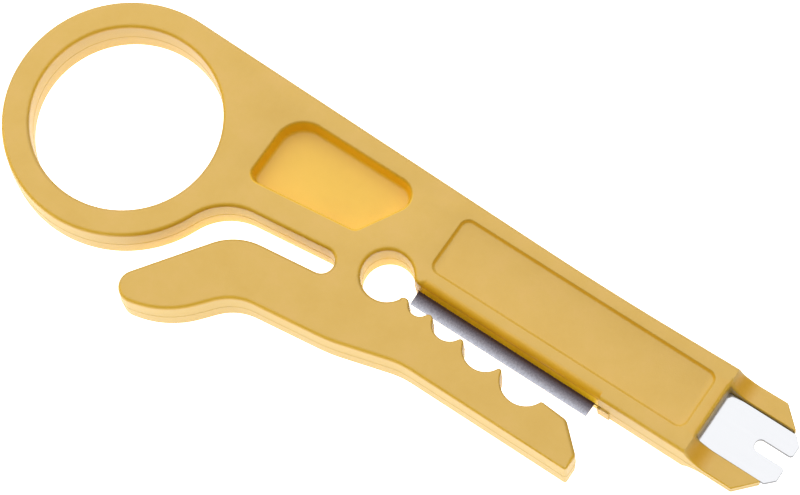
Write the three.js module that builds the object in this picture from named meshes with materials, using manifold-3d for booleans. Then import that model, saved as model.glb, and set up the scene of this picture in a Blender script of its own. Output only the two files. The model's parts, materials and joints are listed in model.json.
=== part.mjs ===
// Pocket punch down tool with a wire stripper.
//
// One plastic moulding carries a finger ring, a flat handle, two prongs and a sprung lever with a
// notched jaw. The lever is joined to the handle by a living hinge, a neck of plastic that flexes. A
// stripping blade faces the jaw and a forked punch blade stands between the prongs.
//
// Millimetres. While the pieces are drawn, x = y = 0 is the axis of the finger ring, +X points to the
// tip, +Y to the straight back edge, and z = 0 is the middle of the thickness. The last lines move the
// origin to the middle of the underside.

import * as THREE from "three";
import { mergeVertices } from "three/addons/utils/BufferGeometryUtils.js";
import Module from "manifold-3d";

// Moulding.
const THICKNESS = 5.4;
const HALF = THICKNESS / 2;
const RING_INNER_RADIUS = 10.5;
const RING_OUTER_RADIUS = 13.66;

// Living hinge: the neck between the rounded end of the squeeze slot and the cable hole.
const SLOT_END = { x: 27.0, y: -1.65, radius: 1.37 };
const CABLE_HOLE = { x: 33.85, y: 0.8, radius: 2.83 };
const HINGE_HALF_LENGTH = 1.05;

// Handle and prongs.
const HANDLE_LOWER_EDGE = 1.83;
const LIP_START = { x: 37.06, radius: 0.9 };
const BACK_EDGE_BOW_RADIUS = 400;
const BACK_EDGE_BOW = { x: 54.5, y: 12.6 };
const NOSE_X = 70.7;
const PRONG_GAP = { low: 4.2, high: 10.7, cornerRadius: 0.3 };
const LOWER_PRONG_CORNERS = [[76.4, 2.06, 0.3], [78.5, 4.08, 0.12]];
const UPPER_PRONG_CORNERS = [[78.65, 10.86, 0.12], [76.4, 12.67, 0.3]];
const PRONG_THICKNESS = 1.44;
const RAMP_START_X = 70.6;
const RAMP_LENGTH = 2.9;

// Shallow panel and deep pocket, the same on both faces.
const PANEL = { left: 37.1, right: 69.1, bottom: 3.85, top: 10.9, radius: 1.05, depth: 0.35 };
const POCKET_WEB = 1.5;

// Blades, both cut from the same steel strip and held at the middle of the thickness.
const BLADE_THICKNESS = 0.5;
const SEAT_GAP = 0.1;
const STRIPPING_BLADE = { left: 37.1, right: 59.55, edge: 0.13, bevelTop: 1.6, back: 5.8 };
const STRIPPING_SEAT_OVERRUN = 0.8;
const STRIPPING_ANCHORS = [43.0, 53.6];
const STRIPPING_ANCHOR = { y: 3.9, radius: 0.9 };
const EDGE_THICKNESS = 0.06;
const PUNCH_BLADE = { back: 61.5, tip: 80.0, bottom: 4.25, top: 10.65, chamfer: 1.0 };
const FORK = { bottom: 6.82, top: 8.2, root: 75.95, rootRadius: 0.6, mouthRadius: 0.3 };
const PUNCH_ANCHOR = { x: 66.2, y: 7.35, radius: 1.6 };

// Faceting: the most that a chord may stand off its arc.
const CHORD_ERROR = 0.012;
const CUT_MARGIN = 1;

const COLOURS = {
  plastic: { color: 0xe4bc74, roughness: 0.55, metalness: 0 },
  groundSteel: { color: 0x9c9ca6, roughness: 0.4, metalness: 1 },
  polishedSteel: { color: 0xe6e8ee, roughness: 0.25, metalness: 1 },
};

const wasm = await Module();
wasm.setup();

// ---------------------------------------------------------------------------------------------
// Outlines. Each outline is a belt pulled round a list of pegs [x, y, radius], anticlockwise. The
// belt passes on the right of a peg with a positive radius, which gives an outer corner or a bulge,
// and on the left of one with a negative radius, which gives a hollow. Radius 0 is a sharp corner.

function beltDirection([ax, ay, ar], [bx, by, br]) {
  const distance = Math.hypot(bx - ax, by - ay);
  const lean = THREE.MathUtils.clamp((ar - br) / distance, -1, 1);
  return Math.atan2(by - ay, bx - ax) + Math.asin(lean);
}

function turnBetween(from, to, radius) {
  const turn = (to - from) % (2 * Math.PI);
  if (radius > 0) return turn < -1e-9 ? turn + 2 * Math.PI : turn;
  return turn > 1e-9 ? turn - 2 * Math.PI : turn;
}

// Points along an arc, from one heading of travel to another.
function arc([x, y, radius], start, turn) {
  const widestStep = 2 * Math.acos(1 - Math.min(1, CHORD_ERROR / Math.abs(radius)));
  const steps = Math.max(1, Math.ceil(Math.abs(turn) / widestStep));
  return Array.from({ length: steps + 1 }, (_, k) => {
    const heading = start + (turn * k) / steps;
    return new THREE.Vector2(x + radius * Math.sin(heading), y - radius * Math.cos(heading));
  });
}

function belt(pegs) {
  const points = pegs.flatMap((peg, i) => {
    if (peg[2] === 0) return [new THREE.Vector2(peg[0], peg[1])];
    const before = pegs[(i + pegs.length - 1) % pegs.length];
    const start = beltDirection(before, peg);
    return arc(peg, start, turnBetween(start, beltDirection(peg, pegs[(i + 1) % pegs.length]), peg[2]));
  });
  return points.filter((p, i) => p.distanceTo(points[(i + 1) % points.length]) > 1e-4);
}

const circle = (x, y, radius) => arc([x, y, radius], 0, 2 * Math.PI).slice(1);

// The peg of the given radius that touches two hollows from below: the crest between two notches.
function crest([ax, ay, ar], [bx, by, br], radius) {
  const reachA = Math.abs(ar) + radius;
  const reachB = Math.abs(br) + radius;
  const distance = Math.hypot(bx - ax, by - ay);
  const along = (reachA ** 2 - reachB ** 2 + distance ** 2) / (2 * distance);
  const across = Math.sqrt(reachA ** 2 - along ** 2);
  const ux = (bx - ax) / distance;
  const uy = (by - ay) / distance;
  const side = ux < 0 ? -1 : 1;
  return [ax + ux * along + side * uy * across, ay + uy * along - side * ux * across, radius];
}

function roundedBox({ left, right, bottom, top, radius }) {
  return belt([
    [left + radius, bottom + radius, radius],
    [right - radius, bottom + radius, radius],
    [right - radius, top - radius, radius],
    [left + radius, top - radius, radius],
  ]);
}

// ---------------------------------------------------------------------------------------------
// Solids.

function plate(points, bottom, top, holes = []) {
  const shape = new THREE.Shape(points);
  shape.holes = holes.map((hole) => new THREE.Path(hole));
  const geometry = new THREE.ExtrudeGeometry(shape, { depth: top - bottom, bevelEnabled: false });
  return geometry.translate(0, 0, bottom);
}

function toSolid(geometry) {
  const bare = geometry.clone();
  bare.deleteAttribute("normal");
  bare.deleteAttribute("uv");
  const merged = mergeVertices(bare, 1e-5);
  const mesh = new wasm.Mesh({
    numProp: 3,
    vertProperties: Float32Array.from(merged.attributes.position.array),
    triVerts: Uint32Array.from(merged.index.array),
  });
  return new wasm.Manifold(mesh);
}

function toGeometry(solid) {
  const { vertProperties, triVerts } = solid.getMesh();
  const geometry = new THREE.BufferGeometry();
  geometry.setAttribute("position", new THREE.BufferAttribute(vertProperties, 3));
  geometry.setIndex(new THREE.BufferAttribute(triVerts, 1));
  geometry.computeVertexNormals();
  return geometry;
}

const cut = (solid, ...geometries) => geometries.reduce((s, g) => s.subtract(toSolid(g)), solid);

// ---------------------------------------------------------------------------------------------
// Living hinge. Its frame has u along the neck's width, from the slot end to the cable hole, and n
// across it, towards the handle. The lever turns about the middle of the neck.

const slotEndPeg = [SLOT_END.x, SLOT_END.y, -SLOT_END.radius];
const cableHolePeg = [CABLE_HOLE.x, CABLE_HOLE.y, -CABLE_HOLE.radius];

const hingeSpacing = Math.hypot(CABLE_HOLE.x - SLOT_END.x, CABLE_HOLE.y - SLOT_END.y);
const hingeU = {
  x: (CABLE_HOLE.x - SLOT_END.x) / hingeSpacing,
  y: (CABLE_HOLE.y - SLOT_END.y) / hingeSpacing,
};

// Where the hinge's end face, on the handle's side (1) or the lever's (-1), meets a round hollow.
function hingeCorner(peg, side) {
  const across = side * HINGE_HALF_LENGTH;
  const halfChord = Math.sqrt(peg[2] ** 2 - HINGE_HALF_LENGTH ** 2);
  const along = peg === slotEndPeg ? halfChord : hingeSpacing - halfChord;
  return [
    SLOT_END.x + hingeU.x * along - hingeU.y * across,
    SLOT_END.y + hingeU.y * along + hingeU.x * across,
    0,
  ];
}

function livingHinge() {
  return plate(
    belt([
      hingeCorner(cableHolePeg, 1),
      hingeCorner(slotEndPeg, 1),
      slotEndPeg,
      hingeCorner(slotEndPeg, -1),
      hingeCorner(cableHolePeg, -1),
      cableHolePeg,
    ]),
    -HALF,
    HALF,
  );
}

// ---------------------------------------------------------------------------------------------
// Handle: ring, grip area, blade housing and prongs.

function handleOutline() {
  const { low, high, cornerRadius } = PRONG_GAP;
  return belt([
    hingeCorner(cableHolePeg, 1),
    cableHolePeg,
    [LIP_START.x, HANDLE_LOWER_EDGE + LIP_START.radius, LIP_START.radius],
    ...LOWER_PRONG_CORNERS,
    [NOSE_X + cornerRadius, low + cornerRadius, -cornerRadius],
    [NOSE_X + cornerRadius, high - cornerRadius, -cornerRadius],
    ...UPPER_PRONG_CORNERS,
    [BACK_EDGE_BOW.x, BACK_EDGE_BOW.y + BACK_EDGE_BOW_RADIUS, -BACK_EDGE_BOW_RADIUS],
    [0, 0, RING_OUTER_RADIUS],
    [18.55, -7.65, -6.4],
    slotEndPeg,
    hingeCorner(slotEndPeg, 1),
  ]);
}

function pocketOutline() {
  return belt([
    [16.05, 2.88, 1.1],
    [27.47, 4.04, 1.0],
    [29.19, 8.75, 1.9],
    [18.25, 7.35, 3.3],
  ]);
}

// A cutter above the prongs, from the full thickness down a hollow ramp to their upper face.
function rampCutter(face) {
  const prongTop = PRONG_THICKNESS / 2;
  const drop = HALF - prongTop;
  const radius = (RAMP_LENGTH ** 2 + drop ** 2) / (2 * drop);
  const rampEnd = RAMP_START_X + RAMP_LENGTH;
  const start = Math.atan2(drop - radius, -RAMP_LENGTH);
  const section = new THREE.Shape();
  section.moveTo(RAMP_START_X, HALF + CUT_MARGIN);
  section.absarc(rampEnd, prongTop + radius, radius, start, -Math.PI / 2, false);
  section.lineTo(PUNCH_BLADE.tip + CUT_MARGIN, prongTop);
  section.lineTo(PUNCH_BLADE.tip + CUT_MARGIN, HALF + CUT_MARGIN);
  const width = 2 * RING_OUTER_RADIUS;
  const geometry = new THREE.ExtrudeGeometry(section, {
    depth: width,
    bevelEnabled: false,
    curveSegments: 5,
  });
  geometry.rotateX(Math.PI / 2).translate(0, width, 0);
  return face > 0 ? geometry : geometry.rotateX(Math.PI).translate(0, width, 0);
}

function bladeSeats() {
  const half = BLADE_THICKNESS / 2;
  const strip = STRIPPING_BLADE;
  const stripSeat = [
    new THREE.Vector2(strip.left - SEAT_GAP, HANDLE_LOWER_EDGE - CUT_MARGIN),
    new THREE.Vector2(strip.right + STRIPPING_SEAT_OVERRUN, HANDLE_LOWER_EDGE - CUT_MARGIN),
    new THREE.Vector2(strip.right + STRIPPING_SEAT_OVERRUN, strip.back + SEAT_GAP),
    new THREE.Vector2(strip.left - SEAT_GAP, strip.back + SEAT_GAP),
  ];
  const stripPegs = STRIPPING_ANCHORS.map((x) =>
    circle(x, STRIPPING_ANCHOR.y, STRIPPING_ANCHOR.radius - SEAT_GAP));
  const punch = PUNCH_BLADE;
  const punchSeat = [
    new THREE.Vector2(punch.back - SEAT_GAP, punch.bottom - SEAT_GAP),
    new THREE.Vector2(NOSE_X + CUT_MARGIN, punch.bottom - SEAT_GAP),
    new THREE.Vector2(NOSE_X + CUT_MARGIN, punch.top + SEAT_GAP),
    new THREE.Vector2(punch.back - SEAT_GAP, punch.top + SEAT_GAP),
  ];
  const punchPeg = circle(PUNCH_ANCHOR.x, PUNCH_ANCHOR.y, PUNCH_ANCHOR.radius - SEAT_GAP);
  return [plate(stripSeat, -half, half, stripPegs), plate(punchSeat, -half, half, [punchPeg])];
}

function handle() {
  const ring = circle(0, 0, RING_INNER_RADIUS);
  const blank = toSolid(plate(handleOutline(), -HALF, HALF, [ring]));
  const recesses = [1, -1].flatMap((face) => [
    recess(pocketOutline(), HALF - POCKET_WEB / 2, face),
    recess(roundedBox(PANEL), PANEL.depth, face),
    rampCutter(face),
  ]);
  return toGeometry(cut(blank, ...recesses, ...bladeSeats()));
}

function recess(points, depth, face) {
  const floor = HALF - depth;
  const outside = HALF + CUT_MARGIN;
  return face > 0 ? plate(points, floor, outside) : plate(points, -outside, -floor);
}

// ---------------------------------------------------------------------------------------------
// Lever: curved thumb grip, arm, and a jaw with four cable notches beside the cable hole.

function leverOutline() {
  const notches = [
    [52.6, -0.7, -2.72],
    [47.15, -0.18, -2.42],
    [42.45, 0.01, -1.85],
    [38.65, -0.05, -1.15],
  ];
  const crestRadii = [0.35, 0.42, 0.55, 0.68];
  const jaw = notches.flatMap((notch, i) => [
    notch,
    crest(notch, notches[i + 1] ?? cableHolePeg, crestRadii[i]),
  ]);
  return belt([
    hingeCorner(slotEndPeg, -1),
    slotEndPeg,
    [21.45, -10.5, 6.78],
    [12.1, -15.03, 1.9],
    [10.6, -6.25, 10.8],
    [24.5, -15.6, -5.85],
    [28.8, 10.95, 20],
    [41.8, -16.6, -10],
    [61.15, -6.25, 0.35],
    [60.7, -4.95, 0.8],
    [58.0, -3.0, 1.2],
    [55.4, -2.05, 0.4],
    ...jaw,
    cableHolePeg,
    hingeCorner(cableHolePeg, -1),
  ]);
}

const lever = () => plate(leverOutline(), -HALF, HALF);

// ---------------------------------------------------------------------------------------------
// Blades.

// A strip with its lower edge ground to a thin edge from both sides, and two anchor holes.
function strippingBlade() {
  const { left, right, edge, bevelTop, back } = STRIPPING_BLADE;
  const half = BLADE_THICKNESS / 2;
  const section = new THREE.Shape([
    new THREE.Vector2(-EDGE_THICKNESS / 2, edge),
    new THREE.Vector2(EDGE_THICKNESS / 2, edge),
    new THREE.Vector2(half, bevelTop),
    new THREE.Vector2(half, back),
    new THREE.Vector2(-half, back),
    new THREE.Vector2(-half, bevelTop),
  ]);
  const strip = new THREE.ExtrudeGeometry(section, { depth: right - left, bevelEnabled: false });
  strip.rotateY(Math.PI / 2).translate(left, 0, 0);
  const holes = STRIPPING_ANCHORS.map((x) =>
    plate(circle(x, STRIPPING_ANCHOR.y, STRIPPING_ANCHOR.radius), -CUT_MARGIN, CUT_MARGIN));
  return toGeometry(cut(toSolid(strip), ...holes));
}

// A forked plate: the fork pushes the wire down and the wire's contact goes in between its tines.
function punchBlade() {
  const { back, tip, bottom, top, chamfer } = PUNCH_BLADE;
  const mouth = FORK.mouthRadius;
  const root = FORK.rootRadius;
  const outline = belt([
    [back, bottom, 0],
    [tip - chamfer, bottom, 0],
    [tip, bottom + chamfer, 0],
    [tip - mouth, FORK.bottom - mouth, mouth],
    [FORK.root + root, FORK.bottom + root, -root],
    [FORK.root + root, FORK.top - root, -root],
    [tip - mouth, FORK.top + mouth, mouth],
    [tip, top - chamfer, 0],
    [tip - chamfer, top, 0],
    [back, top, 0],
  ]);
  const anchor = circle(PUNCH_ANCHOR.x, PUNCH_ANCHOR.y, PUNCH_ANCHOR.radius);
  return plate(outline, -BLADE_THICKNESS / 2, BLADE_THICKNESS / 2, [anchor]);
}

// ---------------------------------------------------------------------------------------------

function piece(name, geometry, finish) {
  const mesh = new THREE.Mesh(geometry, new THREE.MeshStandardMaterial(finish));
  mesh.name = name;
  return mesh;
}

const tool = new THREE.Group();
tool.add(
  piece("handle_moulding", handle(), COLOURS.plastic),
  piece("living_hinge", livingHinge(), COLOURS.plastic),
  piece("lever_with_jaw", lever(), COLOURS.plastic),
  piece("stripping_blade", strippingBlade(), COLOURS.groundSteel),
  piece("punch_blade", punchBlade(), COLOURS.polishedSteel),
);

const box = new THREE.Box3().setFromObject(tool);
const centre = box.getCenter(new THREE.Vector3());
tool.position.set(-centre.x, -centre.y, -box.min.z);

export default tool;
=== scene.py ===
"""Looks for the pocket punch down tool: a moulded plastic handle, a living hinge, a lever and two blades.

Sizes are in millimetres in the drawing frame: x = y = 0 is the axis of the finger ring, +X points to the
tip, +Y to the straight back edge and z = 0 is the middle of the thickness. Meshes are made in metres.
"""

import json
import math

import bmesh
import bpy
import numpy as np
from mathutils import Matrix, Vector, geometry


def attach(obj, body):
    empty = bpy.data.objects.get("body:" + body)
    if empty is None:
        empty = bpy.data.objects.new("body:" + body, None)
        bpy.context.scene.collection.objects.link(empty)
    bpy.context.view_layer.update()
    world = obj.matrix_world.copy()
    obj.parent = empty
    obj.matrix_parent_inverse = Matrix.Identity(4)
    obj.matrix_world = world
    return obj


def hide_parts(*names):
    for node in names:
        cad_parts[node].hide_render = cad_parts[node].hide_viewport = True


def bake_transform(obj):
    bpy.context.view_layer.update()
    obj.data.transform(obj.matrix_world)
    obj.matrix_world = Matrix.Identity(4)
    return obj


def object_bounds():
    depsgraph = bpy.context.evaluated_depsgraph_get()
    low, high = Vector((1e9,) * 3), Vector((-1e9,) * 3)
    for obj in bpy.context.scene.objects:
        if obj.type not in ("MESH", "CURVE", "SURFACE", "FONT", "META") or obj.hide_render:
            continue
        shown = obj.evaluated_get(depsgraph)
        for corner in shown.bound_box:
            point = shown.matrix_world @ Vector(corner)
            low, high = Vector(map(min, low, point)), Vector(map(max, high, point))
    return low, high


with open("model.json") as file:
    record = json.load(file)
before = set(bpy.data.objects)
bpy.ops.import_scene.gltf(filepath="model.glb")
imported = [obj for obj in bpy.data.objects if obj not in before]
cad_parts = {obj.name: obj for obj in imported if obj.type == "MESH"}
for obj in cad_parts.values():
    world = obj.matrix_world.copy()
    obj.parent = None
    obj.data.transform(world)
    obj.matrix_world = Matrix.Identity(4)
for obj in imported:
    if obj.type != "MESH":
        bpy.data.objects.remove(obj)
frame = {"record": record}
CAD_LOW, CAD_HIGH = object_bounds()
RING_CENTRE = next(m for m in frame["record"]["mounts"] if m["name"] == "finger_ring")["pos_m"]
ORIGIN = np.array(RING_CENTRE, float)
MM = 0.001

# Moulding.
HALF = 2.7
RING_INNER_RADIUS = 10.5
RING_OUTER_RADIUS = 13.66
EDGE_ROUND = 0.45
FILLET_STEPS = 6
DRAFT = math.tan(math.radians(1.2))
SEAM_RIDGE = 0.03
SEAM_HALF_WIDTH = 0.05
RIM_BAND = 0.12
CHORD_ERROR = 0.0025
CREASE_ANGLE = math.radians(40)

# Cosines above which a normal counts as lying along an axis, and two normals as parallel.
STRAIGHT = 0.999
PARALLEL = 0.99999

# Straight stretches shorter than this get no stations, and none comes closer than the gap to a point.
SHORTEST_STRETCH = 0.01
STATION_GAP = 1e-4

# Tolerances, in metres but for the last, which is in millimetres.
WELD = 2e-7
SLIVER = 1e-7
CUT_SNAP = 1e-8
CAP_SNAP = 1e-7

# Tints. Each point of a mesh has one, and it multiplies the colour of the material there. The tints paint
# light
# and shade: painted shade and painted light on the plastic's rims, walls, lip, ramp and recesses, and painted
# shade on the blades' walls and rims. No tint may take the plastic's colour above 1.
PLAIN = np.array([1.0, 1.0, 1.0])
# Painted shade on the rounded rims: deeper gold where they face the shaded way, greyer where they face the
# other way.
NEAR_RIM_SHADE = np.array([1.12, 1.06, 0.22])
FAR_RIM_SHADE = np.array([0.8, 0.8, 0.85])
# Painted light: the plastic's walls are coloured brighter.
WALL_LIGHT = np.array([1.02, 1.06, 0.86])
# Painted light on walls where the lever lies close and in the cable hole.
GAP_LIGHT_TINT = np.array([1.28, 1.47, 0.45])
# Painted light and shade on the lip over the stripping blade: a brighter, deeper gold on its rim and wall.
LIP_RIM_LIGHT_AND_SHADE = np.array([1.25, 1.12, 0.09])
LIP_WALL_LIGHT_AND_SHADE = np.array([1.65, 1.78, 0.2])
# Painted shade at the foot of the nose's ramp.
RAMP_SHADE = np.array([1.12, 0.95, 0.22])
# Painted shade along the blades' edges: dark walls and grey rims.
BLADE_WALL_SHADE = np.array([0.12, 0.12, 0.13])
BLADE_RIM_SHADE = np.array([0.5, 0.5, 0.52])

# The way, in the tool's plane, that an edge faces where it has the near tint: the side away from the light, so
# that the tints paint shade by which way an edge faces. The near tint turns to the far one as the normal's
# share along that way falls from the turn to minus the turn.
SHADED_WAY = np.array([0.45, -0.89])
SHADED_TURN = 0.35

# Hinge neck, between the end of the squeeze slot and the cable hole.
SLOT_END = (27.0, -1.65, -1.37)
CABLE_HOLE = (33.85, 0.8, -2.83)
HINGE_HALF_LENGTH = 1.05

NECK_ALONG = np.subtract(CABLE_HOLE[:2], SLOT_END[:2])
NECK_SPACING = math.hypot(*NECK_ALONG)
NECK_ALONG /= NECK_SPACING
NECK_ACROSS = np.array([-NECK_ALONG[1], NECK_ALONG[0]])
NECK_PIVOT = SLOT_END[:2] + NECK_ALONG * (NECK_SPACING - SLOT_END[2] + CABLE_HOLE[2]) / 2
NECK_REACH = 2.8

# Nose and prongs. The ramp's painted shade rises and fades again over these distances past its start. The grid
# is of the extra points that carry the ramp across the faces.
RAMP_START_X = 70.6
RAMP_LENGTH = 2.9
PRONG_HALF = 0.72
RAMP_CREASE = 0.25
RAMP_SHADE_RISE = (-0.1, 0.5)
RAMP_SHADE_FADE = (1.0, 3.4)
RAMP_GRID = {"bottom": 1.7, "top": 13.1, "columns": 20, "rows": 39}
PRONG_SOFTNESS = 0.4
PRONG_LEAD_IN = 1.6

# Lip over the stripping blade, and the seats that both blades sit in. The first three numbers pick out the
# straight edges that the seats open in: the housing's underside, and its front between the prongs.
UNDERSIDE_ABOVE = 1
FRONT_LEFT, FRONT_RIGHT = 70, 71
LIP = {"left": 37.0, "right": 60.0, "lead_in": 0.8, "lean": 0.1, "round": 0.9}
LEAD_IN_POINTS = 6
SEAT_HALF = 0.27
STRIPPING_SEAT = {"left": 37.0, "right": 60.35, "depth": 4.0}
PUNCH_SEAT = {"bottom": 4.2, "top": 10.7, "depth": 9.3}
SHARP_END = 0.02
STEP = {"left": 59.9, "right": 61.4, "height": 0.18}

# Outline of the moulding, as pegs for a belt. The jaw's notches come last, with a crest after each.
CREST_SOFTNESS = 0.5
NOTCHES = [
    (52.6, -0.7, -2.72, CREST_SOFTNESS),
    (47.15, -0.18, -2.42, CREST_SOFTNESS),
    (42.45, 0.01, -1.85, CREST_SOFTNESS),
    (38.65, -0.05, -1.15, CREST_SOFTNESS),
]
CREST_RADII = [0.35, 0.42, 0.55, 0.68]
HOUSING_PEGS = [
    (37.06, 2.73, 0.9),
    (76.4, 2.06, 0.3),
    (78.5, 4.08, 0.12, 0.5),
    (71.0, 4.5, -0.3),
    (71.0, 10.4, -0.3),
    (78.65, 10.86, 0.12, 0.5),
    (76.4, 12.67, 0.3),
    (54.5, 412.6, -400.0),
]
RING_TO_SLOT_PEG = (18.55, -7.65, -6.4)
LEVER_PEGS = [
    (21.45, -10.5, 6.78),
    (12.1, -15.03, 1.9),
    (10.6, -6.25, 10.8),
    (24.5, -15.6, -5.85),
    (28.8, 10.95, 20.0),
    (41.8, -16.6, -10.0),
    (61.15, -6.25, 0.35, 0.5),
    (60.7, -4.95, 0.8),
    (58.0, -3.0, 1.2),
    (55.4, -2.05, 0.4, CREST_SOFTNESS),
]
POCKET_PEGS = [
    (16.05, 2.88, 1.1),
    (27.47, 4.04, 1.0),
    (29.19, 8.75, 1.9),
    (18.25, 7.35, 3.3),
]

# Walls with painted light, in place of the light that the lever keeps off them: those that face the lever from
# above a line along it, growing with x.
GAP_LIGHT = {"slope": 0.55, "offset": -16.6, "from": 5.5, "full": 13.0, "past_slot": 2, "facing": 0.4}
GAP_LIGHT_MARGIN = 0.1

# Recesses, the same on both faces. A wall goes from the rim to the floor, and each step says how far it lies
# outside the recess's outline, how deep, and its tint. The tints paint shade down the panel's wall, and paint
# light in the pocket: deep orange on its wall and brighter on its thin floor.
PANEL = {"left": 37.1, "right": 69.1, "bottom": 3.85, "top": 10.9, "radius": 1.05}
# Painted shade: the panel's wall is coloured a deeper gold part way down.
PANEL_WALL = [
    (0.14, 0.0, (1.0, 1.0, 1.0)),
    (0.08, 0.015, (1.0, 1.0, 0.9)),
    (0.03, 0.06, (1.08, 1.0, 0.4)),
    (-0.04, 0.14, (1.22, 1.03, 0.1)),
    (-0.12, 0.24, (1.22, 1.03, 0.1)),
    (-0.2, 0.31, (1.08, 1.0, 0.4)),
    (-0.3, 0.35, (1.0, 0.99, 0.97)),
]
# Painted light: the pocket's wall is coloured deep orange and its floor brighter.
POCKET_WALL = [
    (0.3, 0.0, (1.0, 1.0, 1.0)),
    (0.19, 0.025, (1.02, 1.0, 0.8)),
    (0.09, 0.1, (1.12, 1.02, 0.4)),
    (0.02, 0.22, (1.35, 1.25, 0.08)),
    (-0.05, 0.5, (1.62, 1.45, 0.0)),
    (-0.16, 1.45, (1.62, 1.43, 0.0)),
    (-0.23, 1.7, (1.5, 1.35, 0.1)),
    (-0.34, 1.85, (1.35, 1.25, 0.25)),
    (-0.5, 1.93, (1.26, 1.21, 0.38)),
    (-0.68, 1.95, (1.23, 1.2, 0.42)),
]

# Blades.
BLADE_HALF = 0.25
STRIPPING_BLADE = {"left": 37.1, "right": 59.55, "edge": 0.13, "back": 5.8, "corner": 0.06}
GRIND_TOP = 1.5
GRIND_HOLLOW = 1.35
GRIND_ROWS, GRIND_COLUMNS = 14, 46
# Height up the stripping blade above which its colour is fully dark: painted reflection and shade of the lip.
PAINTED_SHADE_ABOVE = 1.8
EDGE_HALF = 0.03
LARGEST_ROUND_SHARE = 0.6
STRIPPING_ROUND, PUNCH_ROUND = 0.03, 0.05
STRIPPING_ANCHORS = [(43.0, 3.9, 0.9), (53.6, 3.9, 0.9)]
PUNCH_BLADE = {"back": 61.5, "tip": 80.0, "bottom": 4.25, "top": 10.65, "chamfer": 1.0, "corner": 0.12}
FORK = {"bottom": 6.82, "top": 8.2, "root": 75.95, "root_radius": 0.6, "mouth_radius": 0.45}
PUNCH_ANCHOR = (66.2, 7.35, 1.6)

# ------------------------------------------------------------------------------------------------
# Helpers.


def linked(name, data):
    """A new object of the scene."""
    obj = bpy.data.objects.new(name, data)
    bpy.context.scene.collection.objects.link(obj)
    return obj


def smooth_step(x, start, end):
    """0 before start and 1 after end, with an even rise between them."""
    t = np.clip((x - start) / (end - start), 0.0, 1.0)
    return t * t * (3 - 2 * t)


def between(start, end, count):
    """Evenly spaced numbers, with both ends among them."""
    return [start + (end - start) * i / (count - 1) for i in range(count)]


# ------------------------------------------------------------------------------------------------
# Edges. An edge is a belt pulled round a list of pegs (x, y, radius), with the material on its left.
# A positive radius gives an outer corner, a negative one a hollow. A peg may end with a softness, which
# scales the rounding of the edge there.


def heading(a, b):
    """Direction of the belt as it leaves peg a for peg b."""
    distance = math.hypot(b[0] - a[0], b[1] - a[1])
    lean = max(-1.0, min(1.0, (a[2] - b[2]) / distance))
    return math.atan2(b[1] - a[1], b[0] - a[0]) + math.asin(lean)


def turn_between(start, end, radius):
    turn = math.fmod(end - start, 2 * math.pi)
    if radius > 0:
        return turn + 2 * math.pi if turn < -1e-9 else turn
    return turn - 2 * math.pi if turn > 1e-9 else turn


def arc(peg, start, turn):
    """Points and outward normals along one peg."""
    x, y, radius = peg[:3]
    widest = 2 * math.acos(1 - min(1.0, CHORD_ERROR / abs(radius)))
    steps = max(2, math.ceil(abs(turn) / widest))
    h = start + turn * np.arange(steps + 1) / steps
    normal = np.column_stack([np.sin(h), -np.cos(h)])
    return np.array([x, y]) + radius * normal, normal


def crest(a, b, radius):
    """The peg that touches two hollows from below."""
    reach_a, reach_b = abs(a[2]) + radius, abs(b[2]) + radius
    start, end = np.array(a[:2]), np.array(b[:2])
    distance = np.linalg.norm(end - start)
    along = (reach_a**2 - reach_b**2 + distance**2) / (2 * distance)
    across = math.sqrt(reach_a**2 - along**2)
    direction = (end - start) / distance
    down = np.array([direction[1], -direction[0]])
    down = down if down[1] < 0 else -down
    x, y = start + direction * along + down * across
    return (x, y, radius, CREST_SOFTNESS)


class Edge:
    """Points round an edge, with the outward normal and the softness at each."""

    def __init__(self, xy, normal, soft):
        self.xy, self.normal, self.soft = np.array(xy), np.array(normal), np.array(soft)

    @classmethod
    def belt(cls, pegs):
        xy, normal, soft = [], [], []
        for i, peg in enumerate(pegs):
            start = heading(pegs[i - 1], peg)
            turn = turn_between(start, heading(peg, pegs[(i + 1) % len(pegs)]), peg[2])
            points, normals = arc(peg, start, turn)
            xy.extend(points)
            normal.extend(normals)
            soft.extend([peg[3] if len(peg) > 3 else 1.0] * len(points))
        return cls(xy, normal, soft)

    @classmethod
    def hole(cls, x, y, radius):
        xy, normal = arc((x, y, -radius), 0.0, -2 * math.pi)
        return cls(xy[:-1], normal[:-1], [1.0] * (len(xy) - 1))

    def reversed(self):
        """The same line as the rim of a recess, with the material outside it."""
        return Edge(self.xy[::-1], -self.normal[::-1], self.soft[::-1])

    def with_stations(self, stations, axis=0):
        """Adds points where the straight stretches pass these x (or y) values."""
        xy, normal, soft = [], [], []
        for i in range(len(self.xy)):
            j = (i + 1) % len(self.xy)
            a, b = self.xy[i][axis], self.xy[j][axis]
            straight = abs(b - a) > SHORTEST_STRETCH and self.normal[i] @ self.normal[j] > PARALLEL
            low, high = min(a, b) + STATION_GAP, max(a, b) - STATION_GAP
            passed = [s for s in stations if straight and low < s < high]
            shares = [0.0] + [(s - a) / (b - a) for s in sorted(passed, reverse=bool(b < a))]
            for share in shares:
                xy.append(self.xy[i] + share * (self.xy[j] - self.xy[i]))
                normal.append(self.normal[i])
                soft.append(self.soft[i] + share * (self.soft[j] - self.soft[i]))
        return Edge(xy, normal, soft)

    def inset(self, depth):
        """The edge moved into the material by depth, which is one number or one for each point."""
        return self.xy - self.normal * np.broadcast_to(depth, (len(self.xy),))[:, None]


def rounded_box(left, right, bottom, top, radius):
    return Edge.belt([
        (left + radius, bottom + radius, radius),
        (right - radius, bottom + radius, radius),
        (right - radius, top - radius, radius),
        (left + radius, top - radius, radius),
    ])


# ------------------------------------------------------------------------------------------------
# Plates. Every piece is a plate: two faces, each with a rounded rim, and a wall between them.


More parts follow.
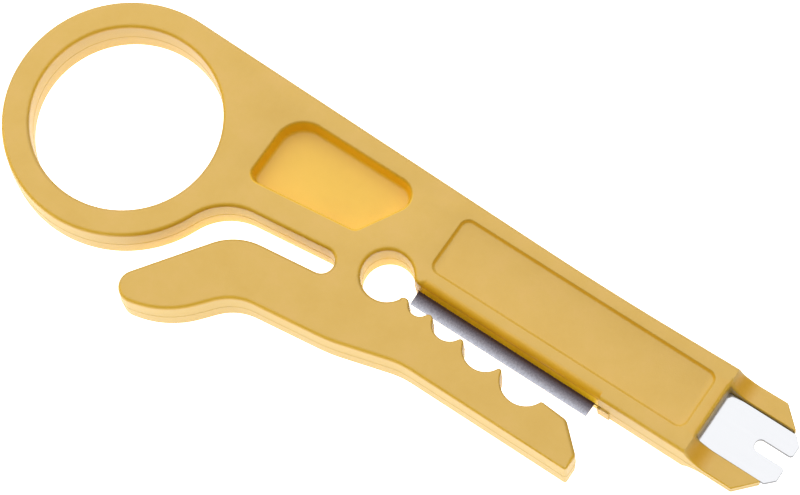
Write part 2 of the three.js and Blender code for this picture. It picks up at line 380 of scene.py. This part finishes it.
def inside(points, loops):
    """Even-odd test of points against closed loops."""
    odd = np.zeros(len(points), bool)
    x, y = points[:, 0], points[:, 1]
    for loop in loops:
        for (ax, ay), (bx, by) in zip(loop, np.roll(loop, -1, axis=0)):
            if ay == by:
                continue
            crosses = (ay > y) != (by > y)
            odd ^= crosses & (x < (bx - ax) * (y - ay) / (by - ay) + ax)
    return odd


class Mesh:
    """Points and faces. Each point has a tint, which multiplies the colour of its material."""

    def __init__(self):
        self.points, self.tints, self.faces = [], [], []
        self.count = 0

    def loop(self, xy, z, tint=PLAIN):
        start = self.count
        self.points.append(np.column_stack([xy, np.broadcast_to(z, (len(xy),))]))
        self.tints.append(np.broadcast_to(tint, (len(xy), 3)))
        self.count += len(xy)
        return np.arange(start, self.count)

    def strip(self, a, b, flip=False):
        """Quads between two closed loops."""
        a2, b2 = np.roll(a, -1), np.roll(b, -1)
        quads = np.column_stack([a, b, b2, a2] if flip else [a, a2, b2, b])
        self.faces.extend(quads.tolist())

    def cap(self, loops, extra_xy, height, side):
        """Triangles over the first loop less the others, passing through the extra points."""
        points = np.vstack(self.points)
        rims = [points[loop][:, :2] for loop in loops]
        extra_xy = np.asarray(extra_xy, float).reshape(-1, 2)
        if len(extra_xy):
            extra_xy = extra_xy[inside(extra_xy, rims)]
        extra = self.loop(extra_xy, side * height(extra_xy), painted_ramp_shade(extra_xy[:, 0]))
        ids = np.concatenate([*loops, extra])
        xy = np.vstack([*rims, extra_xy])
        edges, at = [], 0
        for rim in rims:
            edges += [(at + i, at + (i + 1) % len(rim)) for i in range(len(rim))]
            at += len(rim)
        made = geometry.delaunay_2d_cdt([Vector(p) for p in xy], edges, [], 0, CAP_SNAP)
        corners = np.array([tuple(v) for v in made[0]])
        if not all(made[3]):
            raise ValueError("two rims cross, or a rim folds over itself")
        source = [ids[origin[0]] for origin in made[3]]
        triangles = np.array([f for f in made[2]])
        kept = inside(corners[triangles].mean(axis=1), rims)
        for triangle in triangles[kept]:
            face = [int(source[v]) for v in triangle]
            self.faces.append(face if side > 0 else face[::-1])


def plate(edge, holes=(), recesses=(), *, height, edge_round, wall, extra=()):
    """Builds a plate as a bmesh. height gives the half thickness at points, edge_round the rounding of the
    rims, wall the tints and the lower stretch of the side for an edge and a face, and extra more points for
    the faces. Recesses are pairs of an edge and its wall profile."""
    mesh = Mesh()
    for side in (1, -1):
        rims = []
        for line in (edge, *holes):
            loops = side_loops(mesh, line, side, height, edge_round, wall)
            for upper, lower in zip(loops, loops[1:]):
                mesh.strip(lower, upper, flip=side < 0)
            rims.append(loops[0])
        for line, profile in recesses:
            loops = []
            for depth, drop, tint in profile:
                tints = PLAIN if not loops else toned(line, profile[-1][2], tint)
                loops.append(mesh.loop(line.inset(depth), side * (height(line.xy) - drop), tints))
            for upper, lower in zip(loops, loops[1:]):
                mesh.strip(lower, upper, flip=side < 0)
            floor = profile[-1][1]
            mesh.cap([loops[-1]], (), lambda xy, floor=floor: height(xy) - floor, side)
            rims.append(loops[0])
        mesh.cap(rims, extra, height, side)
    return closed(mesh)


def side_loops(mesh, line, side, height, edge_round, wall):
    """Loops from the rim of one face, over its rounding, down to the middle of the thickness. A thin flat
    band lies on each side of the rounding, which keeps the flats looking flat."""
    radius = edge_round(line)
    foot = wall(line, side)
    top = height(line.inset(radius))
    tilt = foot["lean"] + DRAFT * (top - radius)
    band = radius * RIM_BAND
    outer = line.inset(foot["shift"] + tilt + radius + band)
    loops = [mesh.loop(outer, side * height(outer), foot["face_tint"])]
    for k in range(FILLET_STEPS + 1):
        angle = math.pi / 2 * k / FILLET_STEPS
        at = line.inset(foot["shift"] + tilt + radius * (1 - math.sin(angle)))
        drop = radius * (1 - math.cos(angle))
        share = math.sin(angle * 2) if angle < math.pi / 4 else 1.0
        tint = foot["face_tint"] + share * (foot["rim_tint"] - foot["face_tint"])
        loops.append(mesh.loop(at, side * (np.minimum(height(at), top) - drop), tint))
    below = top - radius - band
    foot_of_rim = line.inset(foot["shift"] + tilt * below / (top - radius))
    loops.append(mesh.loop(foot_of_rim, side * below, foot["wall_tint"]))
    for depth, z in foot["steps"]:
        loops.append(mesh.loop(line.inset(depth), side * np.minimum(z, below), foot["wall_tint"]))
    return loops


def toned(line, far, near):
    """Painted shade by which way an edge faces: the near tint where it faces the shaded way, turning to the
    far one where it doesn't.
    """
    share = smooth_step(line.normal @ SHADED_WAY, -SHADED_TURN, SHADED_TURN)[:, None]
    return far + share * (np.array(near) - far)


def closed(mesh):
    """The two halves welded into one closed bmesh, in metres in the row frame."""
    data = bpy.data.meshes.new("draft")
    data.from_pydata((np.vstack(mesh.points) * MM + ORIGIN).tolist(), [], mesh.faces)
    tints = data.attributes.new("tint", "FLOAT_COLOR", "POINT")
    rgb = np.vstack(mesh.tints)
    rgba = np.column_stack([rgb, np.ones(len(rgb))])
    tints.data.foreach_set("color", rgba.astype(np.float32).ravel())
    bm = bmesh.new()
    bm.from_mesh(data)
    bpy.data.meshes.remove(data)
    bmesh.ops.remove_doubles(bm, verts=bm.verts, dist=WELD)
    bmesh.ops.dissolve_degenerate(bm, dist=SLIVER, edges=bm.edges)
    return bm


def finished(name, bm):
    """An object from a bmesh, smooth but for its creases."""
    bmesh.ops.recalc_face_normals(bm, faces=bm.faces)
    for edge in bm.edges:
        edge.smooth = edge.is_manifold and edge.calc_face_angle(0.0) < CREASE_ANGLE
    for face in bm.faces:
        face.smooth = True
    data = bpy.data.meshes.new(name)
    bm.to_mesh(data)
    bm.free()
    return linked(name, data)


# ------------------------------------------------------------------------------------------------
# Plastic pieces.


def moulding_height(xy):
    """Half thickness: full over the handle, then down a hollow ramp to the prongs."""
    xy = np.asarray(xy, float).reshape(-1, 2)
    drop = HALF - PRONG_HALF
    radius = (RAMP_LENGTH**2 + drop**2) / (2 * drop)
    run = np.clip(RAMP_START_X + RAMP_LENGTH - xy[:, 0], 0.0, None)
    on_arc = np.clip(run, 0.0, RAMP_LENGTH)
    slope = RAMP_LENGTH / math.sqrt(radius**2 - RAMP_LENGTH**2)
    ramp = PRONG_HALF + radius - np.sqrt(radius**2 - on_arc**2) + (run - on_arc) * slope
    near = np.clip(RAMP_CREASE - np.abs(ramp - HALF), 0.0, None)
    return np.minimum(ramp, HALF) - near**2 / (4 * RAMP_CREASE)


def painted_ramp_shade(x):
    """Painted shade: a deeper colour at the foot of the nose, where the two prongs' ramps begin."""
    rise, fade = ([RAMP_START_X + end for end in ends] for ends in (RAMP_SHADE_RISE, RAMP_SHADE_FADE))
    share = smooth_step(x, *rise) * (1 - smooth_step(x, *fade))
    return PLAIN + share[:, None] * (RAMP_SHADE - PLAIN)


def housing_underside(line):
    """The straight lower edge of the blade housing, which faces the jaw."""
    return (line.normal[:, 1] < -STRAIGHT) & (line.xy[:, 1] > UNDERSIDE_ABOVE)


def lip_share(line):
    """How far, from 0 to 1, each point has the lip's shape."""
    x = line.xy[:, 0]
    on_lip = housing_underside(line) & (x < LIP["right"])
    return on_lip * smooth_step(x, LIP["left"], LIP["left"] + LIP["lead_in"])


def moulding_round(line):
    """Radius of the rims: softer at the crests and the prongs, larger along the lip."""
    x = line.xy[:, 0]
    thin = 1 - (1 - PRONG_SOFTNESS) * smooth_step(x, RAMP_START_X, RAMP_START_X + PRONG_LEAD_IN)
    return EDGE_ROUND * line.soft * thin + lip_share(line) * (LIP["round"] - EDGE_ROUND)


def moulding_wall(line, side):
    """A drafted wall with the seam's fine ridge at the middle. It is opened by the blades' seats, and
    leans back over the stripping blade."""
    x, y = line.xy.T
    under = housing_underside(line)
    front = (line.normal[:, 0] > STRAIGHT) & (x > FRONT_LEFT) & (x < FRONT_RIGHT)
    strip_seat = under & (x > STRIPPING_SEAT["left"]) & (x < STRIPPING_SEAT["right"])
    punch_seat = front & (y > PUNCH_SEAT["bottom"]) & (y < PUNCH_SEAT["top"])
    seat = strip_seat | punch_seat
    deep = strip_seat * STRIPPING_SEAT["depth"] + punch_seat * PUNCH_SEAT["depth"]
    step = (under & (x > STEP["left"]) & (x < STEP["right"]) & (side < 0)) * -STEP["height"]
    lip = lip_share(line)
    # Painted shade on the rims, by which way they face.
    rim = toned(line, FAR_RIM_SHADE, NEAR_RIM_SHADE)
    # Painted light on the walls, and more of it near the lever and in the cable hole.
    bare_wall = WALL_LIGHT + painted_gap_light(line)[:, None] * (GAP_LIGHT_TINT - WALL_LIGHT)
    return {
        "lean": lip * LIP["lean"],
        "shift": step,
        # Painted shade on the faces at the foot of the nose.
        "face_tint": painted_ramp_shade(x),
        # Painted light and shade on the lip's rim and wall.
        "rim_tint": rim + lip[:, None] * (LIP_RIM_LIGHT_AND_SHADE - rim),
        "wall_tint": bare_wall + lip[:, None] * (LIP_WALL_LIGHT_AND_SHADE - bare_wall),
        "steps": [
            (step, np.where(seat, SEAT_HALF, SEAM_HALF_WIDTH * 2)),
            (np.where(seat, deep, step), np.where(seat, SEAT_HALF, SEAM_HALF_WIDTH)),
            (np.where(seat, deep, -SEAM_RIDGE), 0.0),
        ],
    }


def painted_gap_light(line):
    """How far, from 0 to 1, each wall gets painted light: in the cable hole, and on the ring and the handle
    where the lever lies close and keeps the light off."""
    x, y = line.xy.T
    hole = np.hypot(x - CABLE_HOLE[0], y - CABLE_HOLE[1]) < GAP_LIGHT_MARGIN - CABLE_HOLE[2]
    outside_ring = np.hypot(x, y) > RING_INNER_RADIUS + GAP_LIGHT_MARGIN
    above_lever = (y < 0) & (y > GAP_LIGHT["slope"] * x + GAP_LIGHT["offset"]) & (x < SLOT_END[0] + GAP_LIGHT["past_slot"])
    facing_it = line.normal[:, 1] < GAP_LIGHT["facing"]
    beside = (outside_ring & above_lever & facing_it) * smooth_step(x, GAP_LIGHT["from"], GAP_LIGHT["full"])
    return np.maximum(hole, beside)


def moulding_edge():
    """Handle, slot, lever and jaw in one line, from the cable hole round to the cable hole."""
    jaw = []
    for notch, following, radius in zip(NOTCHES, NOTCHES[1:] + [CABLE_HOLE], CREST_RADII):
        jaw += [notch, crest(notch, following, radius)]
    ring = (0.0, 0.0, RING_OUTER_RADIUS)
    edge = Edge.belt([CABLE_HOLE, *HOUSING_PEGS, ring, RING_TO_SLOT_PEG, SLOT_END, *LEVER_PEGS, *jaw])
    sharp_ends = [LIP["right"], STRIPPING_SEAT["right"], STEP["left"], STEP["right"]]
    stations = [x + side * SHARP_END for x in sharp_ends for side in (-1, 1)]
    stations += [LIP["left"] + 0.1 + SHARP_END]
    stations += between(LIP["left"] + 0.2, LIP["left"] + LIP["lead_in"], LEAD_IN_POINTS)
    return edge.with_stations(stations + ramp_stations())


def ramp_stations():
    """Where the ramp's curve has points."""
    return between(RAMP_START_X - RAMP_CREASE, RAMP_START_X + RAMP_LENGTH, RAMP_GRID["columns"])


def moulding():
    """The whole moulding in one plate, with the finger ring's hole and both recesses."""
    pocket, panel = Edge.belt(POCKET_PEGS).reversed(), rounded_box(**PANEL).reversed()
    rows = between(RAMP_GRID["bottom"], RAMP_GRID["top"], RAMP_GRID["rows"])
    return plate(
        moulding_edge(),
        [Edge.hole(0.0, 0.0, RING_INNER_RADIUS)],
        [(pocket, POCKET_WALL), (panel, PANEL_WALL)],
        height=moulding_height,
        edge_round=moulding_round,
        wall=moulding_wall,
        extra=[(x, y) for x in ramp_stations() for y in rows],
    )


def cut_at_neck(bm):
    """Cuts the moulding at the neck's two end faces into the handle, the web and the lever."""
    along, across, pivot = (Vector((*v, 0.0)) for v in (NECK_ALONG, NECK_ACROSS, NECK_PIVOT))
    for side in (1, -1):
        centre = (pivot + across * side * HINGE_HALF_LENGTH) * MM + Vector(ORIGIN)
        cut = set()
        for edge in bm.edges:
            a, b = (v.co - centre for v in edge.verts)
            above, below = a @ across, b @ across
            if above * below < 0:
                crossing = a + (b - a) * above / (above - below)
                if abs(crossing @ along) < NECK_REACH * MM:
                    cut.update(edge.link_faces)
        lines = {e for f in cut for e in f.edges}
        corners = {v for e in lines for v in e.verts}
        made = bmesh.ops.bisect_plane(
            bm, geom=[*corners, *lines, *cut], dist=CUT_SNAP, plane_co=centre, plane_no=across)
        rim = [e for e in made["geom_cut"] if isinstance(e, bmesh.types.BMEdge)]
        bmesh.ops.split_edges(bm, edges=rim)
    web, lever, handle = sorted(connected(bm), key=len)
    return [alone(bm, faces) for faces in (handle, web, lever)]


def connected(bm):
    """The separate shells, as sets of face numbers."""
    bm.faces.index_update()
    left, shells = set(bm.faces), []
    while left:
        shell, front = set(), [left.pop()]
        while front:
            face = front.pop()
            shell.add(face.index)
            reached = {f for e in face.edges for f in e.link_faces} & left
            left -= reached
            front.extend(reached)
        shells.append(shell)
    return shells


def alone(bm, faces):
    """A copy of one shell, with its cut ends closed."""
    piece = bm.copy()
    others = [f for f in piece.faces if f.index not in faces]
    bmesh.ops.delete(piece, geom=others, context="FACES")
    bmesh.ops.holes_fill(piece, edges=[e for e in piece.edges if e.is_boundary], sides=0)
    return piece


# ------------------------------------------------------------------------------------------------
# Blades.


def painted_shade_blade_wall(line, side):
    """A plain wall painted dark, with a lighter grey rim: painted shade along the blades' sheared edges."""
    return {
        "lean": 0.0,
        "shift": 0.0,
        "face_tint": PLAIN,
        "rim_tint": BLADE_RIM_SHADE,
        "wall_tint": BLADE_WALL_SHADE,
        "steps": [(0.0, 0.0)],
    }


def strip_height(xy):
    """Half thickness of the stripping blade: hollow ground from both faces to a thin edge."""
    xy = np.asarray(xy, float).reshape(-1, 2)
    up = np.clip((xy[:, 1] - STRIPPING_BLADE["edge"]) / (GRIND_TOP - STRIPPING_BLADE["edge"]), 0, 1)
    return EDGE_HALF + (BLADE_HALF - EDGE_HALF) * up**GRIND_HOLLOW


def stripping_blade():
    b = STRIPPING_BLADE
    grind = between(b["edge"] + 0.05, GRIND_TOP, GRIND_ROWS)
    columns = between(b["left"] + 0.1, b["right"] - 0.1, GRIND_COLUMNS)
    edge = rounded_box(b["left"], b["right"], b["edge"], b["back"], b["corner"])
    return plate(
        edge.with_stations(grind, axis=1),
        [Edge.hole(*anchor) for anchor in STRIPPING_ANCHORS],
        height=strip_height,
        edge_round=lambda line: np.minimum(STRIPPING_ROUND, strip_height(line.xy) * LARGEST_ROUND_SHARE),
        wall=painted_shade_blade_wall,
        extra=[(x, y) for y in grind for x in columns],
    )


def punch_blade():
    b, f = PUNCH_BLADE, FORK
    tip, corner, root, mouth = b["tip"], b["corner"], f["root_radius"], f["mouth_radius"]
    slant = corner * math.tan(math.pi / 8)
    edge = Edge.belt([
        (b["back"] + corner, b["bottom"] + corner, corner),
        (tip - b["chamfer"] - slant, b["bottom"] + corner, corner),
        (tip - corner, b["bottom"] + b["chamfer"] + slant, corner),
        (tip - mouth, f["bottom"] - mouth, mouth),
        (f["root"] + root, f["bottom"] + root, -root),
        (f["root"] + root, f["top"] - root, -root),
        (tip - mouth, f["top"] + mouth, mouth),
        (tip - corner, b["top"] - b["chamfer"] - slant, corner),
        (tip - b["chamfer"] - slant, b["top"] - corner, corner),
        (b["back"] + corner, b["top"] - corner, corner),
    ])
    return plate(
        edge,
        [Edge.hole(*PUNCH_ANCHOR)],
        height=lambda xy: np.full(len(xy), BLADE_HALF),
        edge_round=lambda line: np.full(len(line.xy), PUNCH_ROUND),
        wall=painted_shade_blade_wall,
    )


# ------------------------------------------------------------------------------------------------
# Materials.


class Surface:
    """A material, and the few kinds of node that it is built from."""

    def __init__(self, name, **settings):
        self.material = bpy.data.materials.new(name)
        self.material.use_nodes = True
        self.tree = self.material.node_tree
        self.shader = self.tree.nodes["Principled BSDF"]
        self.set(self.shader, settings)

    def set(self, node, inputs):
        """Fills inputs by name, each with a value or with another node's output."""
        for name, value in inputs.items():
            socket = node.inputs[name.replace("_", " ")]
            if isinstance(value, bpy.types.NodeSocket):
                self.tree.links.new(value, socket)
            else:
                socket.default_value = value

    def add(self, kind, **inputs):
        node = self.tree.nodes.new("ShaderNode" + kind)
        self.set(node, inputs)
        return node

    def place(self, stretch=None):
        """Coordinates on the object, in metres, or stretched by a factor along each axis."""
        place = self.add("TexCoord").outputs["Object"]
        return self.add("Mapping", Vector=place, Scale=stretch).outputs["Vector"] if stretch else place

    def noise(self, place, scale, detail, roughness):
        node = self.add("TexNoise", Vector=place, Scale=scale, Detail=detail, Roughness=roughness)
        return node.outputs["Fac"]

    def ramp(self, value, stops):
        node = self.add("ValToRGB", Fac=value)
        first, *middle, last = stops
        ends = node.color_ramp.elements
        for end, (position, colour) in zip(ends, (first, last)):
            end.position, end.color = position, (*colour, 1)
        for position, colour in middle:
            ends.new(position).color = (*colour, 1)
        return node.outputs["Color"]

    def scaled(self, value, **limits):
        return self.add("MapRange", Value=value, **limits).outputs["Result"]

    def multiplied(self, a, b, factor=1.0):
        node = self.add("Mix")
        node.data_type, node.blend_type = "RGBA", "MULTIPLY"
        self.set(node, {"Factor": factor, "A": a, "B": b})
        return node.outputs["Result"]

    def tinted(self, colour):
        """The colour multiplied by the mesh's own tint, which paints light and shade."""
        tint = self.add("Attribute")
        tint.attribute_name = "tint"
        return self.multiplied(colour, tint.outputs["Color"])

    def bump(self, height, distance, **over):
        return self.add("Bump", Height=height, Distance=distance, **over).outputs["Normal"]

    def finish(self, colour, roughness, normal):
        self.set(self.shader, {"Base Color": self.tinted(colour), "Roughness": roughness, "Normal": normal})
        return self.material


def plastic():
    """Matt moulded plastic, slightly cloudy and faintly grained."""
    s = Surface("yellow_plastic", IOR=1.58)
    place = s.place()
    clouds = s.noise(place, scale=230.0, detail=5.0, roughness=0.6)
    grain = s.noise(place, scale=9000.0, detail=3.0, roughness=0.6)
    waves = s.noise(place, scale=700.0, detail=3.0, roughness=0.5)
    colour = s.ramp(clouds, [
        (0.3, (0.55, 0.326, 0.03)),
        (0.5, (0.568, 0.344, 0.042)),
        (0.7, (0.588, 0.354, 0.058)),
    ])
    normal = s.bump(waves, distance=0.00002, Normal=s.bump(grain, distance=0.000012))
    return s.finish(colour, s.scaled(clouds, To_Min=0.36, To_Max=0.5), normal)


def ground_steel():
    """Steel with fine grinding marks, bright at its ground edge and painted darker up the blade: a painted
    reflection of the plastic lip over it, and its shade.
    """
    s = Surface("ground_steel", Metallic=1.0)
    split = s.add("SeparateXYZ", Vector=s.place())
    low, high = (y * MM + ORIGIN[1] for y in (STRIPPING_BLADE["edge"], PAINTED_SHADE_ABOVE))
    up_the_blade = s.scaled(split.outputs["Y"], From_Min=low, From_Max=high)
    # Painted reflection and shade: darker up the blade, towards the plastic lip.
    colour = s.ramp(up_the_blade, [
        (0.0, (0.4, 0.41, 0.465)),
        (0.12, (0.31, 0.315, 0.355)),
        (0.4, (0.175, 0.165, 0.185)),
        (0.64, (0.085, 0.072, 0.082)),
        (0.88, (0.04, 0.022, 0.016)),
    ])
    marks = s.noise(s.place(stretch=(8000.0, 4500.0, 4500.0)), scale=1.0, detail=3.0, roughness=0.7)
    mottle = s.ramp(marks, [(0.32, (0.25, 0.25, 0.27)), (0.68, (1.25, 1.25, 1.25))])
    roughness = s.scaled(marks, To_Min=0.25, To_Max=0.45)
    return s.finish(s.multiplied(colour, mottle, factor=0.5), roughness, s.bump(marks, distance=0.000006))


def polished_steel():
    """Nearly mirror-bright sheet, with faint lines along its length."""
    s = Surface("polished_steel", Metallic=1.0)
    lines = s.noise(s.place(stretch=(200.0, 6000.0, 200.0)), scale=1.0, detail=4.0, roughness=0.6)
    colour = s.ramp(lines, [(0.3, (0.43, 0.435, 0.45)), (0.7, (0.442, 0.447, 0.461))])
    return s.finish(colour, s.scaled(lines, To_Min=0.08, To_Max=0.13), s.bump(lines, distance=0.000003))


# ------------------------------------------------------------------------------------------------
# Stage: camera, floor and light.

# The camera's pose is fitted to the photo. TARGET is the ring's centre seen from the camera, with z ahead
# and y down, as multiples of the ring's inner radius.
CAMERA_TILT = math.radians(-19.02)
CAMERA_ROLL = math.radians(-2.81)
TOOL_TURN = math.radians(-34.51)
TARGET = (-2.803, -1.188, 36.535)
FIT_PLANE_Z = 0.00035
LENS_MM = 157.5
SENSOR_MM = 36.0

FLOOR_HALF = 1.5
FLOOR_GAP = 0.00005
FLOOR_COLOUR = (0.9, 0.9, 0.9, 1)
FLOOR_EMISSION = 1.35
WHITE = (1, 1, 1, 1)
WORLD_STRENGTH = 0.3
SOFTBOX = {"place": (-0.17, 0.14, 0.4), "size": 0.92, "power": 4.8}


def camera():
    """The camera of the product shot, from its fitted pose about the ring's centre."""
    tilt = Matrix.Rotation(CAMERA_TILT, 3, "X") @ Matrix.Rotation(CAMERA_ROLL, 3, "Y")
    turn = Matrix.Rotation(TOOL_TURN, 3, "Z")
    to_camera = tilt @ turn
    place = -(to_camera.transposed() @ Vector((TARGET[0], -TARGET[1], -TARGET[2]))) * RING_INNER_RADIUS
    place = place * MM + Vector((ORIGIN[0], ORIGIN[1], FIT_PLANE_Z))
    data = bpy.data.cameras.new("camera")
    data.lens, data.sensor_width = LENS_MM, SENSOR_MM
    data.clip_start, data.clip_end = 0.01, 10.0
    obj = linked("camera", data)
    obj.matrix_world = Matrix.Translation(place) @ to_camera.transposed().to_4x4()
    bpy.context.scene.camera = obj


def floor():
    """A white sheet just under the tool. It gives off light, so it stays white and lights the tool's sides."""
    h, z = FLOOR_HALF, CAD_LOW.z - FLOOR_GAP
    data = bpy.data.meshes.new("floor")
    data.from_pydata([(-h, -h, z), (h, -h, z), (h, h, z), (-h, h, z)], [], [(0, 1, 2, 3)])
    sheet = Surface("floor_white", Base_Color=FLOOR_COLOUR, Roughness=0.9)
    sheet.set(sheet.shader, {"Emission Color": WHITE, "Emission Strength": FLOOR_EMISSION})
    data.materials.append(sheet.material)
    obj = linked("floor", data)


def lighting():
    """One large softbox overhead, aimed at the frame's origin, and an even white surround."""
    world = bpy.data.worlds.new("studio")
    world.use_nodes = True
    world.node_tree.nodes["Background"].inputs["Color"].default_value = WHITE
    world.node_tree.nodes["Background"].inputs["Strength"].default_value = WORLD_STRENGTH
    bpy.context.scene.world = world
    light = bpy.data.lights.new("overhead", "AREA")
    light.shape, light.size, light.energy = "SQUARE", SOFTBOX["size"], SOFTBOX["power"]
    obj = linked("overhead", light)
    obj.location = SOFTBOX["place"]
    obj.rotation_mode = "QUATERNION"
    obj.rotation_quaternion = (-Vector(SOFTBOX["place"])).to_track_quat("-Z", "Y")


# ------------------------------------------------------------------------------------------------

camera()
floor()
lighting()

handle, web, lever = cut_at_neck(moulding())
yellow = plastic()
riders = [
    ("handle", handle, "frame", "handle_moulding", "yellow_plastic", yellow),
    ("lever", lever, "lever", "lever_with_jaw", "yellow_plastic", yellow),
    ("stripping_steel", stripping_blade(), "frame", "stripping_blade", "ground_steel", ground_steel()),
    ("punch_steel", punch_blade(), "frame", "punch_blade", "polished_steel", polished_steel()),
]
for name, bm, body, node, slot, material in riders:
    piece = finished(name, bm)
    piece.data.materials.append(material)
    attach(piece, body)
    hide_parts(node)

hinge = finished("hinge_web", web)
hinge.data.materials.append(yellow)
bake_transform(hinge)
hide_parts("living_hinge")

bpy.context.scene.view_settings.view_transform = "Standard"
